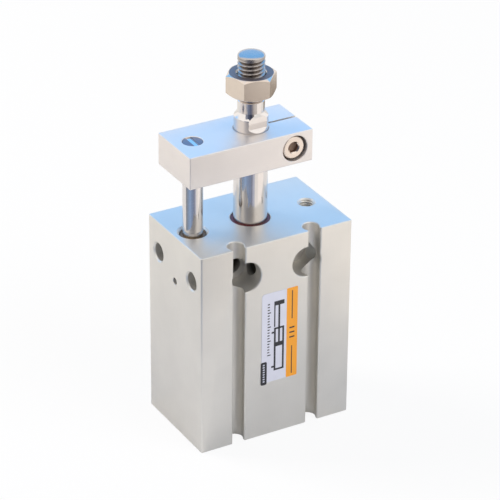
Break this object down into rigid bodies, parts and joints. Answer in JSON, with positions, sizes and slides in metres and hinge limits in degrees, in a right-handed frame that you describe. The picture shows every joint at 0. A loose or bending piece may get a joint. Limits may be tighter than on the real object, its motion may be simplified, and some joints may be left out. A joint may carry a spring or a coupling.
{
  "type": "guided pneumatic cylinder",
  "caption": "Compact block cylinder with a sliding rod, a parallel guide rod and a clamped plate that keeps the threaded rod end from turning.",
  "frame": {"origin": "centre of the body's head-end face, under the piston rod's axis", "axes": "+Z along the rods towards the threaded rod end; -Y out of the wide face with screw pockets and sensor grooves; -X out of the narrow face beside the guide rod; +Y out of the face with the air ports"},
  "size_m": [0.05, 0.032, 0.1174],
  "materials": {
    "body_aluminium": "satin",
    "plate_aluminium": "satin",
    "cover_aluminium": "satin",
    "piston_aluminium": "satin",
    "rod_chrome": "polished",
    "guide_rod_steel": "polished",
    "nickel_steel": "satin",
    "zinc_steel": "satin",
    "spring_steel": "satin",
    "bearing_bronze": "satin",
    "seal_rubber": "satin",
    "o_ring_rubber": "satin",
    "bumper_urethane": "satin",
    "wear_ring_resin": "matte",
    "label_film": "gloss"
  },
  "bodies": {
    "housing": {"cylinder_body": "body_aluminium", "rod_bush": "bearing_bronze", "rod_seal": "seal_rubber", "guide_bush": "bearing_bronze", "rod_side_bumper": "bumper_urethane", "head_side_bumper": "bumper_urethane", "head_cover": "cover_aluminium", "head_cover_o_ring": "o_ring_rubber", "snap_ring": "spring_steel"},
    "rod": {"piston": "piston_aluminium", "rod_side_piston_seal": "o_ring_rubber", "head_side_piston_seal": "o_ring_rubber", "wear_ring": "wear_ring_resin", "piston_rod": "rod_chrome", "piston_o_ring": "o_ring_rubber", "piston_nut": "zinc_steel", "guide_plate": "plate_aluminium", "clamp_screw": "nickel_steel", "guide_rod": "guide_rod_steel", "rod_end_nut": "nickel_steel"}
  },
  "joints": [
    {"name": "rod_slide", "type": "slide", "parent": "housing", "child": "rod", "axis": [0, 0, 1], "range_m": [-0.016, 0.009]}
  ]
}
